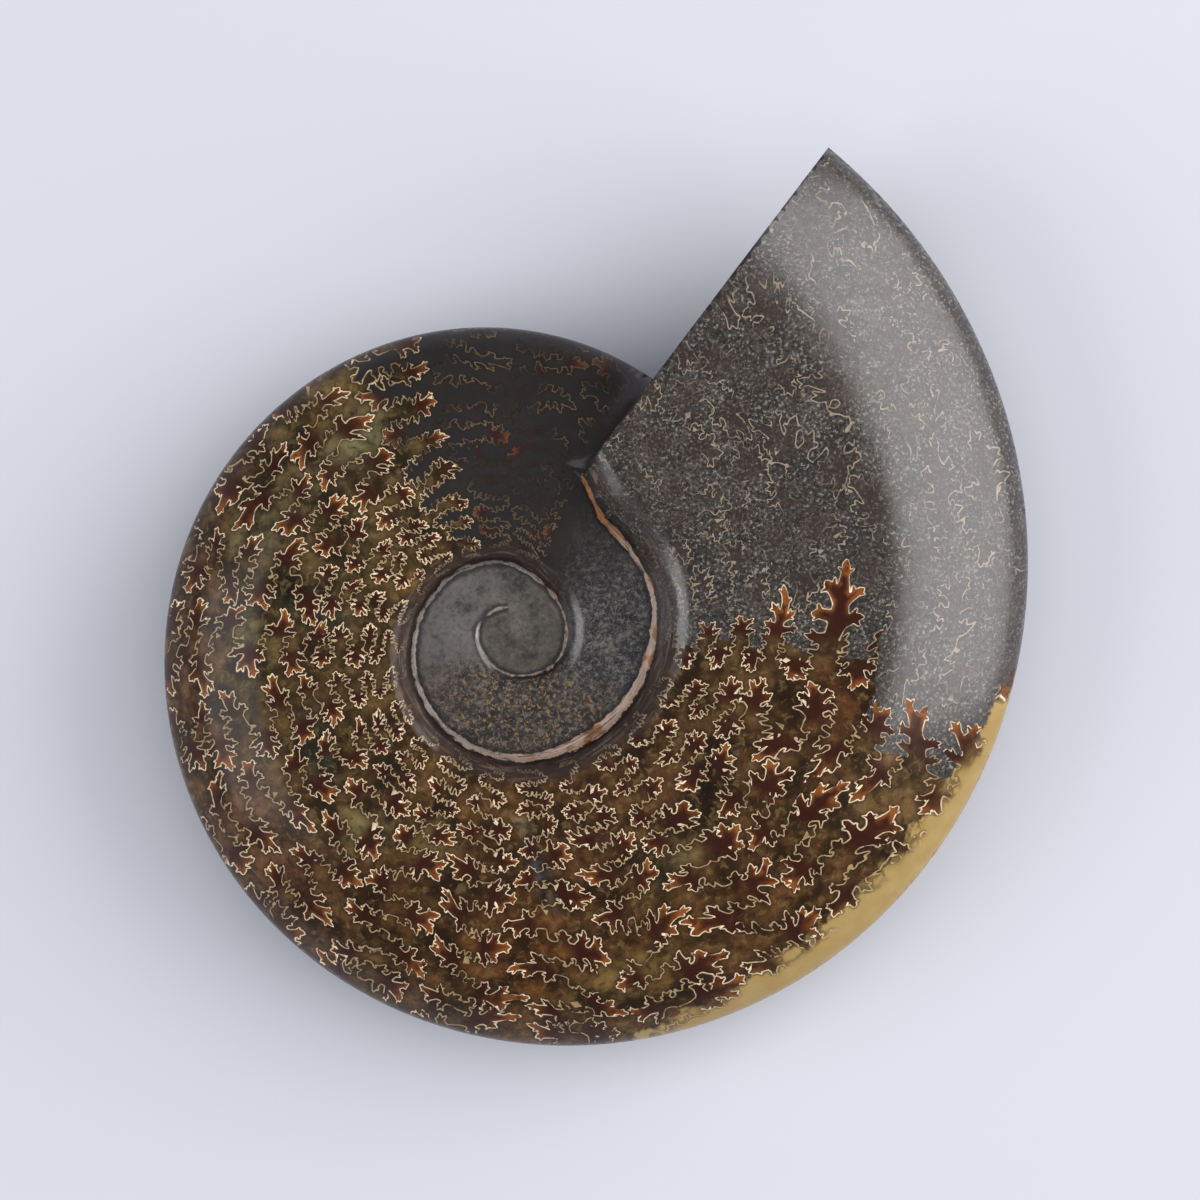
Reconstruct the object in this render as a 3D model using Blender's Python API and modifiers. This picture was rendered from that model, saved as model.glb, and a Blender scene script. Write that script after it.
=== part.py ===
"""A whole ammonite fossil, sawn off straight at the aperture and polished, lying on its side.

The fossil is one piece of stone. Its upper flank is lofted round the coil: each section runs from the
umbilical seam, up the umbilical wall, over the flank and down to the keel, and the sections grow with the
coil's angle. The lower flank is the mirror of the upper one. The sections are unlike each other, so the
loft's faces are made here and not from a primitive. Lengths are in metres. Angles of the coil are in degrees
and grow towards the aperture; the shell makes three turns, and the origin of the coil's plane is the middle
of the umbilicus.
"""

import math

import bmesh
import bpy
import numpy as np
from mathutils import Matrix, Vector

NAME = "ammonite"
FULL_TURN = 360.0

# The keel, a spiral that grows with the angle and whose pole lies a little off the umbilicus
KEEL_RADIUS = 0.0427
KEEL_GROWTH = 0.1098
KEEL_OFF_X = 0.0115
KEEL_OFF_Y = 0.0407

# The umbilical seam: angles along it, and its radius there in millimetres
SEAM_ANGLES = (98, 145, 207, 243, 284, 311, 338, 381, 427, 465, 512, 567, 615, 675, 717, 745, 767, 776, 788)
SEAM_RADII_MM = (
    6.0, 6.4, 5.3, 5.2, 5.8, 6.7, 8.1, 9.5, 11.3, 14.0, 15.6, 17.6, 19.0, 21.0, 23.5, 25.2, 25.4, 26.2, 30.6,
)

# The saw cut at the aperture: the coil's angle at the seam, where it starts, and at the keel's tip
CUT_SEAM_ANGLE = 787.8
CUT_KEEL_ANGLE = 777.5

# The smooth button in the middle is what lies before the core's angle, past the second turn under the cut
CORE_TURN = 30.0
CORE_ANGLE = CUT_SEAM_ANGLE - 2 * FULL_TURN + CORE_TURN

# Half of the shell's thickness at the core and at the aperture
CORE_HALF_BREADTH = 0.0095
APERTURE_HALF_BREADTH = 0.0200
BREADTH_POWER = 1.4
CORE_DOME = 0.0006
CORE_SEAM_FALL = 0.0005

# The flank's height across a section, as a share of the half breadth, from the seam (0) to the keel (1)
FLANK_SHARES = (0.0, 0.20, 0.40, 0.55, 0.62, 0.68, 0.76, 0.84, 0.92, 1.0)
FLANK_HEIGHTS = (1.0, 1.0, 0.965, 0.905, 0.865, 0.800, 0.690, 0.565, 0.430, 0.300)
KEEL_ROUNDNESS = 10.0
WALL_SHARE = 0.12
WALL_STEEPNESS = 2.5

# The lip of old shell along the seam, and the rounded ramp at the foot of the saw cut
LIP_HEIGHT = 0.0004
LIP_WIDTH = 0.0010
RAMP_HEIGHT = 0.0030
RAMP_WIDTH = 0.0030

# The loft: its rows across the outer whorl and across the whorls inside the umbilicus, and the core's rings
SECTIONS_A_TURN = 60
OUTER_ROWS = (
    0, 0.015, 0.04, 0.075, 0.12, 0.20, 0.33, 0.47, 0.56, 0.62, 0.68, 0.75, 0.82, 0.88, 0.93, 0.965, 0.99, 1,
)
INNER_ROWS = (0, 0.05, 0.13, 0.25, 0.50, 0.75, 0.92, 1)
CORE_RINGS = (0.30, 0.60, 0.85)
SETTLE_SECTIONS = 10  # the sections over which the loft eases away from the saw cut

# How the shell rests on its lower flank: how far the coil's axis leans, and towards which side of the plan
LEAN_DEG = 2.6
LEAN_TOWARDS_DEG = 244.0

MERGE_DISTANCE = 0.00005
NOTCH_PRECISION = 0.000001
SMOOTH_BELOW_DEG = 40.0

STONE_COLOUR = (0.11, 0.075, 0.045, 1.0)
STONE_ROUGHNESS = 0.16


def smooth_through(x, stations, values):
    """A cubic through the stations with no bump between them."""
    xs = np.asarray(stations, float)
    ys = np.asarray(values, float)
    slopes = np.diff(ys) / np.diff(xs)
    before = np.insert(slopes, 0, slopes[0])
    after = np.append(slopes, slopes[-1])
    limit = 3 * np.minimum(np.abs(before), np.abs(after)) * (before * after > 0)
    tangents = np.clip((before + after) / 2, -limit, limit)
    x = np.clip(np.asarray(x, float), xs[0], xs[-1])
    i = np.clip(np.searchsorted(xs, x) - 1, 0, len(xs) - 2)
    width = xs[i + 1] - xs[i]
    t = (x - xs[i]) / width
    rise = ys[i + 1] - ys[i]
    start = tangents[i] * width
    end = tangents[i + 1] * width
    return ys[i] + start * t + (3 * rise - 2 * start - end) * t**2 + (start + end - 2 * rise) * t**3


def keel_radius(angle):
    """Radius of the keel. Its first full turn ends at 360 degrees."""
    turn = np.radians(angle)
    grown = KEEL_GROWTH * (turn - 2 * math.pi)
    return KEEL_RADIUS * np.exp(grown + KEEL_OFF_X * np.cos(turn) + KEEL_OFF_Y * np.sin(turn))


def seam_radius(angle):
    return smooth_through(angle, SEAM_ANGLES, SEAM_RADII_MM) / 1000


def radius_at(angle, share):
    seam = seam_radius(angle)
    return seam + share * (keel_radius(angle) - seam)


def share_at(angle, radius):
    """Share of the way from the seam to the keel."""
    seam = seam_radius(angle)
    return (radius - seam) / (keel_radius(angle) - seam)


def half_breadth(angle):
    grown = np.clip((np.asarray(angle, float) - CORE_ANGLE) / (CUT_SEAM_ANGLE - CORE_ANGLE), 0, 1)
    return CORE_HALF_BREADTH + (APERTURE_HALF_BREADTH - CORE_HALF_BREADTH) * grown**BREADTH_POWER


def flank_height(angle, share):
    """Height of a whorl's flank over the coil's plane, without its umbilical wall."""
    rounding = np.sqrt(1 - np.clip(share, 0, 1) ** KEEL_ROUNDNESS)
    return half_breadth(angle) * smooth_through(share, FLANK_SHARES, FLANK_HEIGHTS) * rounding


def seam_height(angle):
    """Height of the seam, which is where a whorl meets the flank of the turn before it, or the core."""
    angle = np.asarray(angle, float)
    earlier = angle - FULL_TURN
    on_flank = flank_height(earlier, share_at(earlier, seam_radius(angle)))
    on_core = CORE_HALF_BREADTH - CORE_SEAM_FALL
    return np.where(earlier < CORE_ANGLE, on_core, np.maximum(on_flank, on_core))


def height_at(angle, share):
    """Height of the shell's surface over the coil's plane."""
    below = (1 - np.clip(share / WALL_SHARE, 0, 1)) ** WALL_STEEPNESS
    height = seam_height(angle) * below + flank_height(angle, share) * (1 - below)
    return height + lip_height(radius_at(angle, share) - seam_radius(angle))


def lip_height(distance):
    return LIP_HEIGHT * np.exp(-((distance / LIP_WIDTH) ** 2))


def in_plan(angle, radius):
    return np.stack([radius * np.cos(np.radians(angle)), radius * np.sin(np.radians(angle))], -1)


CUT_START = in_plan(CUT_SEAM_ANGLE, seam_radius(CUT_SEAM_ANGLE))
CUT_END = in_plan(CUT_KEEL_ANGLE, keel_radius(CUT_KEEL_ANGLE))


def coil_place(points, near_angle):
    """Angle and share of plan points on the whorl whose angle is near the given one."""
    angle = np.degrees(np.arctan2(points[:, 1], points[:, 0]))
    angle = angle + FULL_TURN * np.round((near_angle - angle) / FULL_TURN)
    return angle, share_at(angle, np.hypot(points[:, 0], points[:, 1]))


def notch_share():
    """How far along the saw cut it leaves the earlier whorl, over whose flank it starts."""
    low, high = 0.0, 1.0
    while high - low > NOTCH_PRECISION:
        middle = (low + high) / 2
        point = CUT_START + middle * (CUT_END - CUT_START)
        _, share = coil_place(point[None], CUT_SEAM_ANGLE - FULL_TURN)
        low, high = (middle, high) if share[0] < 1 else (low, middle)
    return (low + high) / 2


NOTCH_SHARE = notch_share()


def first_section():
    """Angles and shares of the section under the saw cut: over the umbilicus, then along the cut's foot."""
    seam_angle = CUT_SEAM_ANGLE - FULL_TURN
    inside = np.array(INNER_ROWS) * share_at(seam_angle, seam_radius(CUT_SEAM_ANGLE))
    bend = len(INNER_ROWS) - 1
    along = (np.array(OUTER_ROWS[bend + 1 :]) - OUTER_ROWS[bend]) / (1 - OUTER_ROWS[bend])
    foot = CUT_START + NOTCH_SHARE * along[:, None] * (CUT_END - CUT_START)
    angles, shares = coil_place(foot, seam_angle)
    shares[-1] = 1.0
    return np.concatenate([np.full(bend + 1, seam_angle), angles]), np.concatenate([inside, shares])


def last_section():
    """Angles and shares of the saw cut's upper edge, from the seam to the keel's tip."""
    edge = CUT_START + np.array(OUTER_ROWS)[:, None] * (CUT_END - CUT_START)
    angles, shares = coil_place(edge, CUT_SEAM_ANGLE)
    shares[0], shares[-1] = 0.0, 1.0
    return angles, shares


def outer_sections():
    """Angles and shares of the outer whorl's sections, which ease from one side of the cut to the other."""
    rows = np.array(OUTER_ROWS)
    slant = rows * (CUT_KEEL_ANGLE - CUT_SEAM_ANGLE)
    step = FULL_TURN / SECTIONS_A_TURN
    sections = []
    for i in range(SECTIONS_A_TURN + 1):
        angles = CUT_SEAM_ANGLE - FULL_TURN + i * step + slant
        shares = rows.copy()
        for (end_angles, end_shares), base, away in (
            (first_section(), CUT_SEAM_ANGLE - FULL_TURN, i),
            (last_section(), CUT_SEAM_ANGLE, SECTIONS_A_TURN - i),
        ):
            pull = max(0.0, 1 - away / SETTLE_SECTIONS) ** 2
            angles = angles + pull * (end_angles - base - slant)
            shares = shares + pull * (end_shares - rows)
        sections.append((angles, shares))
    return sections


def inner_sections():
    """Angles and shares of the whorls that show in the umbilicus, up to the seam of the next turn."""
    step = FULL_TURN / SECTIONS_A_TURN
    angles = np.arange(CORE_ANGLE, CUT_SEAM_ANGLE - FULL_TURN - step / 2, step)
    reach = share_at(angles, seam_radius(angles + FULL_TURN))
    rows = np.array(INNER_ROWS)
    return [(np.full(len(rows), angle), rows * end) for angle, end in zip(angles, reach)]


def ramp_height(points):
    """Height of the rounded ramp at the foot of the saw cut, over points of the whorl that runs out of it."""
    length = np.linalg.norm(CUT_END - CUT_START)
    along = (CUT_END - CUT_START) / length
    offset = points - CUT_START
    beside = along[0] * offset[:, 1] - along[1] * offset[:, 0]
    reach = np.clip(offset @ along / (NOTCH_SHARE * length), 0, 1)
    return RAMP_HEIGHT * np.sqrt(np.sin(math.pi * reach)) * np.exp(-((beside / RAMP_WIDTH) ** 2))


def section_points(angles, shares, has_ramp=False):
    plan = in_plan(angles, radius_at(angles, shares))
    height = height_at(angles, shares)
    if has_ramp:
        height = height + ramp_height(plan)
    height[shares >= 1] = 0.0
    return np.column_stack([plan, height])


def skin(bm, sections):
    """Faces between neighbouring sections."""
    for here, onward in zip(sections, sections[1:]):
        for row in range(len(here) - 1):
            bm.faces.new((here[row], here[row + 1], onward[row + 1], onward[row]))


def add_outer_whorl(bm):
    """The outer whorl's sections of vertices. The first and the last share the vertex where the seam ends."""
    sections = []
    for i, (angles, shares) in enumerate(outer_sections()):
        points = section_points(angles, shares, has_ramp=i < SETTLE_SECTIONS)
        sections.append([bm.verts.new(point) for point in points])
    seam_end = len(INNER_ROWS) - 1
    bm.verts.remove(sections[0][seam_end])
    sections[0][seam_end] = sections[-1][0]
    skin(bm, sections)
    return sections


def add_inner_whorls(bm, outer):
    """The whorls in the umbilicus, each up to the next turn's seam. Returns the seam and a section."""
    places = inner_sections()
    seam = [bm.verts.new(section_points(angles, shares)[0]) for angles, shares in places]
    seam += [section[0] for section in outer]
    sections = []
    for i, (angles, shares) in enumerate(places):
        middle = [bm.verts.new(point) for point in section_points(angles, shares)[1:-1]]
        sections.append([seam[i], *middle, seam[i + SECTIONS_A_TURN]])
    skin(bm, sections + [outer[0][: len(INNER_ROWS)]])
    return seam, sections[0]


def add_core(bm, seam, first_inner):
    """The smooth button in the middle: the first whorl's flank run on to the centre, with a low dome."""
    step = FULL_TURN / SECTIONS_A_TURN
    dome_radius = seam_radius(CORE_ANGLE)
    sections = []
    for i, rim in enumerate(seam[:SECTIONS_A_TURN]):
        angle = CORE_ANGLE - FULL_TURN + i * step
        radii = rim.co.xy.length * np.array(CORE_RINGS)
        dome = CORE_DOME * (1 - np.clip(radii / dome_radius, 0, 1) ** 2) ** 2
        heights = flank_height(angle, share_at(angle, radii)) + dome
        points = np.column_stack([in_plan(angle, radii), heights])
        sections.append([bm.verts.new(point) for point in points] + [rim])
    skin(bm, sections)
    top = bm.verts.new((0, 0, CORE_HALF_BREADTH + CORE_DOME))
    for here, onward in zip(sections, sections[1:]):
        bm.faces.new((top, here[0], onward[0]))
    wedge = bm.faces.new([top, *sections[-1], *first_inner[::-1], *sections[0][-2::-1]])
    bmesh.ops.triangulate(bm, faces=[wedge])


def add_cut_face(bm, outer):
    """The flat sawn face, from the coil's plane up: it stands on the earlier whorl and ends at the tip."""
    foot = outer[0][len(INNER_ROWS) :]
    face = bm.faces.new(outer[-1] + foot[::-1])
    bmesh.ops.triangulate(bm, faces=[face], ngon_method="EAR_CLIP")


def half_shell_mesh():
    """The half of the shell over the coil's plane, open where the other half joins it."""
    bm = bmesh.new()
    outer = add_outer_whorl(bm)
    seam, first_inner = add_inner_whorls(bm, outer)
    add_core(bm, seam, first_inner)
    add_cut_face(bm, outer)
    bmesh.ops.recalc_face_normals(bm, faces=bm.faces)
    if max(bm.faces, key=lambda face: face.calc_center_median().z).normal.z < 0:
        bmesh.ops.reverse_faces(bm, faces=bm.faces)
    mesh = bpy.data.meshes.new(NAME)
    bm.to_mesh(mesh)
    bm.free()
    mesh.shade_smooth()
    mesh.set_sharp_from_angle(angle=math.radians(SMOOTH_BELOW_DEG))
    return mesh


def stone_material():
    material = bpy.data.materials.new("fossil_stone")
    material.use_nodes = True
    shader = material.node_tree.nodes["Principled BSDF"]
    shader.inputs["Base Color"].default_value = STONE_COLOUR
    shader.inputs["Roughness"].default_value = STONE_ROUGHNESS
    shader.inputs["Metallic"].default_value = 0.0
    return material


def rest_on_flank(obj):
    """Lean the shell onto its lower flank and stand it over the origin, its lowest point at height zero."""
    towards = math.radians(LEAN_TOWARDS_DEG)
    axis = Vector((-math.sin(towards), math.cos(towards), 0))
    lean = Matrix.Rotation(math.radians(LEAN_DEG), 3, axis)
    places = [vert.co for vert in obj.data.vertices]
    corners = [lean @ Vector((place.x, place.y, side * place.z)) for place in places for side in (1, -1)]
    low = [min(point[k] for point in corners) for k in range(3)]
    high = [max(point[k] for point in corners) for k in range(3)]
    obj.rotation_euler = lean.to_euler()
    obj.location = (-(low[0] + high[0]) / 2, -(low[1] + high[1]) / 2, -low[2])


def build_ammonite(collection):
    shell = bpy.data.objects.new(NAME, half_shell_mesh())
    shell.data.materials.append(stone_material())
    collection.objects.link(shell)
    mirror = shell.modifiers.new("lower flank", "MIRROR")
    mirror.use_axis = (False, False, True)
    mirror.merge_threshold = MERGE_DISTANCE
    rest_on_flank(shell)
    return shell


def main():
    for obj in list(bpy.data.objects):
        bpy.data.objects.remove(obj, do_unlink=True)
    collection = bpy.data.collections.new("ammonite fossil")
    bpy.context.scene.collection.children.link(collection)
    build_ammonite(collection)


main()
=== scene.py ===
"""A polished ammonite fossil lying on a pale floor, seen from straight above.

One closed mesh stands for the fossil. It follows the same spiral as the solid it replaces, with a much finer
surface: coiled sections in the umbilicus, and a triangulated outer whorl whose edges follow the suture lines.
Angles of the coil are in degrees and grow towards the aperture. Lengths are in millimetres until the mesh is
written in metres.
"""
import math

import bmesh
import bpy
import numpy as np
from mathutils import Matrix, Vector
from mathutils.geometry import delaunay_2d_cdt


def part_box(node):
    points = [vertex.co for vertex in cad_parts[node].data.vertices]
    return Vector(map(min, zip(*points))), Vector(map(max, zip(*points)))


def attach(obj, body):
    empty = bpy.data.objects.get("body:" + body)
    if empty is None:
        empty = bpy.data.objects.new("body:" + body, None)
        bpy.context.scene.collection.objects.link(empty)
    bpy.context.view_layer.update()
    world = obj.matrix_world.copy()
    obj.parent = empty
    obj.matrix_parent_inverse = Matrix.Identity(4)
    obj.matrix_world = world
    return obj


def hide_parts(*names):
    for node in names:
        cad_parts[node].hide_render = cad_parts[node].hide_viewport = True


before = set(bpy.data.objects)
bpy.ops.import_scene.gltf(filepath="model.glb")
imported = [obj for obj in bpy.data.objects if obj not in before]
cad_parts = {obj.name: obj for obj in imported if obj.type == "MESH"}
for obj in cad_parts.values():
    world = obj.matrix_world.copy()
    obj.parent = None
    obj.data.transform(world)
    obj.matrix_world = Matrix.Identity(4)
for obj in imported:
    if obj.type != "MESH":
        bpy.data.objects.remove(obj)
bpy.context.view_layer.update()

FULL_TURN = 360.0

# The keel, a spiral that grows with the angle and whose pole lies a little off the umbilicus
KEEL_RADIUS = 42.7
KEEL_GROWTH = 0.1098
KEEL_OFF_X = 0.0115
KEEL_OFF_Y = 0.0407

# The umbilical seam: angles along it, and its radius there
SEAM_ANGLES = (98, 145, 207, 243, 284, 311, 338, 381, 427, 465, 512, 567, 615, 675, 717, 745, 767, 776, 788)
SEAM_RADII = (
    6.0, 6.4, 5.3, 5.2, 5.8, 6.7, 8.1, 9.5, 11.3, 14.0, 15.6, 17.6, 19.0, 21.0, 23.5, 25.2, 25.4, 26.2, 30.6,
)

# The saw cut at the aperture: the coil's angle at its two ends, and where the core's button ends
CUT_SEAM_ANGLE = 787.8
CUT_KEEL_ANGLE = 777.5
CORE_TURN = 30.0
CORE_ANGLE = CUT_SEAM_ANGLE - 2 * FULL_TURN + CORE_TURN
# The outer whorl's first angle and the middle of its turn
START_ANGLE = CUT_SEAM_ANGLE - FULL_TURN
HALF_WAY_ANGLE = CUT_SEAM_ANGLE - FULL_TURN / 2

# Half of the shell's thickness at the core and at the aperture
CORE_HALF_BREADTH = 9.5
APERTURE_HALF_BREADTH = 20.0
BREADTH_POWER = 1.4
CORE_DOME = 0.6
CORE_SEAM_FALL = 0.5
CORE_JOINING = 60.0

# The flank's height across a section, as a share of the half breadth, from the seam (0) to the keel (1)
FLANK_SHARES = (0.0, 0.20, 0.40, 0.55, 0.62, 0.68, 0.76, 0.84, 0.92, 1.0)
FLANK_HEIGHTS = (1.0, 1.0, 0.965, 0.905, 0.865, 0.800, 0.690, 0.565, 0.430, 0.300)
SOFT_HEIGHTS = (1.0, 1.0, 0.962, 0.902, 0.862, 0.811, 0.717, 0.605, 0.472, 0.330)
SOFT_ANGLES = (650.0, 705.0)
KEEL_ROUNDNESS = 10.0
WALL_SHARE = 0.12
WALL_STEEPNESS = 2.5

# The lip of old shell along the seam, and the rounded ramp at the foot of the saw cut
LIP_HEIGHT = 0.4
LIP_WIDTH = 1.0
RAMP_HEIGHT = 3.0
RAMP_WIDTH = 3.0

# How the shell rests on its lower flank: the lean of the coil's axis, and its direction in the plan
LEAN_DEG = 2.6
LEAN_TOWARDS_DEG = 244.0

# The fine mesh
SECTIONS_A_TURN = 180
SECTION_DEG = FULL_TURN / SECTIONS_A_TURN
INNER_ROWS = (0, 0.012, 0.03, 0.055, 0.09, 0.14, 0.20, 0.28, 0.38, 0.50, 0.62, 0.74, 0.84, 0.92, 0.97, 1)
CORE_RINGS = (0.12, 0.25, 0.36, 0.44, 0.48, 0.52, 0.57, 0.64, 0.72, 0.80, 0.88, 0.95)
CUT_POINTS = 64
FOOT_POINTS = 24
KEEL_STEP = 1.0
WALL_ROWS = (0.004, 0.010, 0.018, 0.028, 0.042, 0.060, 0.085, 0.12)
EDGE_ROWS = (0.905, 0.93, 0.95, 0.968, 0.982, 0.992, 0.998)
EDGE_STEP_DEG = 1.25
EDGE_SHIFT_DEG = 0.62
ROW_GAP = 0.012
SEAM_GAP_DEG = 0.9
NEAR_CUT_DEG = (60, 30, 10)
FILL_FROM_CUT = 0.4
LINES_FROM_CUT = 0.45
FILL_RADII = (9.0, 110.0)
# For the upper and the lower half: its side, the tolerance of the lines and the fill's spacing
HALVES = ((1, 0.038, 0.020), (-1, 0.30, 0.040))
CLEARANCE = 0.14
SAME_PLACE = 0.001
MERGE = 0.000001
CDT_PRECISION = 0.0000001
SHORTEST_LINE = 1.5
LONGEST_SPAN = 24
TINY = 0.000000001
FAR = 9.0
SMOOTH_BELOW_DEG = 40.0

# The sutures: the lines where the septa, the walls between the chambers, meet the shell. They are drawn in
# the unrolled coil, in units of the distance between septa. Leaves point forward, to the aperture, or back.
SEPTA_A_TURN = 22
FIRST_SEPTUM = 25
LAST_SEPTUM = 49
SUTURE_SEED = 7
WAVE_SHARE = 1.5
WAVE_PITCH = 3.93
WAVES_A_BAND = 3
# Seeds of the waviness of the lines, along and across, of the sand's edge and of the ground's zones
WARP_SEEDS = (3, 5)
SAND_SEED = 9
GROUND_SEEDS = (11, 12)
LINE_HALF_WIDTH = 0.120
LINE_GROWTH = (0.052, 0.0022)
LINE_GAP = 0.50
SUTURE_SHARES = (0.030, 0.99)
CELLS_A_UNIT = 100
SEPTUM_REACH = 0.97
# The grid reaches this far past the outer whorl, in degrees before and after it and in log radius
GRID_PAST_DEG = (12, 4)
GRID_PAST_LOG = 0.02
GRID_EDGE = 1.001
FULLY_DRAWN = 0.99
# A septum's own wiggle, its leaves' random shifts and limits, and how softly the parts join
WIGGLE = (0.03, 40)
CENTRE_SHIFT = 0.006
SIDE_SHIFT = 0.03
PITCH_RANGE = (0.26, 1.0)
STRETCH_RANGE = (0.9, 1.5)
FEWEST_CELLS = 9
END_GAPS = (0.03, 0.2)
SEPTUM_JOIN = 0.03
FINGER_JOIN = 0.035
TOOTH_JOIN = 0.02
LEAF_TURN = 0.13
LEAF_SIZES = (0.94, 1.08)
FINGER_GROWTH = (0.86, 1.12)
# Teeth, as shares of their finger's width or length, and their angles to it
TOOTH_WIDTHS = (0.42, 0.20)
TIP_TOOTH_TURN = 0.25
TIP_TOOTH_LENGTHS = (0.45, 0.80)
SIDE_TOOTH_PLACES = (0.50, 0.80)
SIDE_TOOTH_TURNS = (0.75, 1.05)
SIDE_TOOTH_LENGTHS = (1.05, 1.35)
LEAF_DEPTH = 0.50
LEAF_REACH = 0.92
LEAF_SIDE = 0.465
FORWARD_SHARES = (0.06, 0.135, 0.225, 0.335, 0.47, 0.635, 0.80, 0.94)
BACKWARD_SHARES = (0.02, 0.095, 0.178, 0.278, 0.400, 0.552, 0.718, 0.872, 0.99)
LENGTH_SHARES = (0.0, 0.05, 0.16, 0.30, 0.45, 0.8, 1.0)
LEAF_LENGTHS = (0.25, 0.33, 0.46, 0.54, 0.60, 0.62, 0.50)
WARP_WAVES = ((0.050, 1.0), (0.014, 2.3), (0.006, 5.5), (0.003, 10.0))
# A leaf's fingers: root x and y, tip x and y, half width at root and tip, all in the leaf's own pitches
FORWARD_LEAVES = (
    (
        (-0.1, 0, 0.58, 0, 0.18, 0.09), (0.1, 0, 0.12, -0.27, 0.116, 0.053),
        (0.1, 0, 0.14, 0.28, 0.116, 0.053), (0.28, 0, 0.35, -0.33, 0.11, 0.056),
        (0.3, 0, 0.38, 0.32, 0.11, 0.056), (0.46, 0, 0.6, -0.26, 0.105, 0.053),
        (0.46, 0, 0.62, 0.25, 0.105, 0.053), (0.6, 0, 0.82, 0, 0.11, 0.056),
    ),
    (
        (-0.1, 0, 0.54, 0.02, 0.19, 0.098), (0.08, 0, 0.12, -0.28, 0.116, 0.053),
        (0.16, 0.02, 0.22, 0.3, 0.116, 0.056), (0.28, 0, 0.37, -0.33, 0.11, 0.056),
        (0.38, 0, 0.48, 0.31, 0.11, 0.056), (0.48, 0, 0.7, -0.2, 0.11, 0.056),
        (0.54, 0.02, 0.76, 0.13, 0.11, 0.056),
    ),
    (
        (-0.1, 0, 0.58, -0.03, 0.171, 0.09), (0.06, 0, 0.06, -0.24, 0.11, 0.05),
        (0.12, 0, 0.17, 0.29, 0.116, 0.053), (0.24, 0, 0.3, -0.32, 0.11, 0.056),
        (0.34, 0, 0.44, 0.3, 0.11, 0.053), (0.44, -0.03, 0.56, -0.3, 0.099, 0.05),
        (0.54, 0, 0.7, 0.2, 0.105, 0.053), (0.58, -0.03, 0.82, -0.1, 0.11, 0.053),
    ),
)
BACKWARD_LEAVES = (
    (
        (-0.1, 0, 0.44, 0, 0.152, 0.083), (0.1, 0, 0.14, -0.27, 0.11, 0.05),
        (0.12, 0, 0.18, 0.28, 0.11, 0.05), (0.3, 0, 0.4, -0.27, 0.099, 0.05),
        (0.3, 0, 0.38, 0.28, 0.099, 0.05), (0.42, 0, 0.66, -0.11, 0.105, 0.05),
        (0.42, 0, 0.64, 0.13, 0.105, 0.05),
    ),
    (
        (-0.1, 0, 0.5, 0, 0.152, 0.083), (0.08, 0, 0.1, -0.25, 0.11, 0.05), (0.18, 0, 0.28, 0.28, 0.11, 0.05),
        (0.28, 0, 0.38, -0.28, 0.105, 0.05), (0.42, 0, 0.56, 0.22, 0.099, 0.046),
        (0.5, 0, 0.74, 0, 0.11, 0.053),
    ),
    (
        (-0.1, 0, 0.5, 0.02, 0.142, 0.09), (0.12, 0, 0.2, -0.28, 0.11, 0.05),
        (0.06, 0.02, 0.08, 0.26, 0.099, 0.046), (0.26, 0.02, 0.34, 0.29, 0.105, 0.05),
        (0.36, 0, 0.5, -0.25, 0.099, 0.046), (0.48, 0.02, 0.68, 0.14, 0.099, 0.046),
        (0.5, 0, 0.74, -0.08, 0.11, 0.053),
    ),
)
LEAF_KINDS = ((1, FORWARD_SHARES, FORWARD_LEAVES), (-1, BACKWARD_SHARES, BACKWARD_LEAVES))
# The septa that bound the dark chambers and the sandy ones. Past the shoulder the sand starts one earlier.
DARK_SEPTUM = 29
SAND_SEPTUM = 44
SAND_SHOULDER = 0.61
SAND_STRETCH = 1.4
SAND_STRETCH_FROM = 0.3
SAND_MARGIN = 0.8
SAND_WAVES = 22.0

# For each case of which corners of a grid cell are above the level, the sides that the contour joins:
# 0 is the side between the lower corners, then 1, 2 and 3 follow round the cell
CELL_LINKS = {
    1: ((0, 3),), 2: ((0, 1),), 3: ((1, 3),), 4: ((1, 2),), 5: ((0, 1), (2, 3)), 6: ((0, 2),), 7: ((2, 3),),
    8: ((2, 3),), 9: ((0, 2),), 10: ((0, 3), (1, 2)), 11: ((1, 2),), 12: ((1, 3),), 13: ((0, 1),),
    14: ((0, 3),),
}

# What the paint knows of the surface: first the bare yellow band along the keel
BAND_ANGLES = (646.0, 717.0)
BAND_SHARE = 0.12
BAND_POWER = 0.6
# Half width of the lip of old shell on the seam's inner side, by angle, and on its outer side, and of the
# inner whorls' ridges
LIP_ANGLES = (428, 520, 600, 640, 665, 700, 730, 760, 788)
LIP_WIDTHS = (0.20, 0.24, 0.36, 0.75, 1.40, 1.20, 0.60, 0.50, 0.45)
LIP_OUTER_WIDTH = 0.30
INNER_RIDGE_WIDTH = 0.16
# The angle where the inner whorls' look ends, and over how many degrees it fades
INNER_END = 425
INNER_FADE = 45
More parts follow.
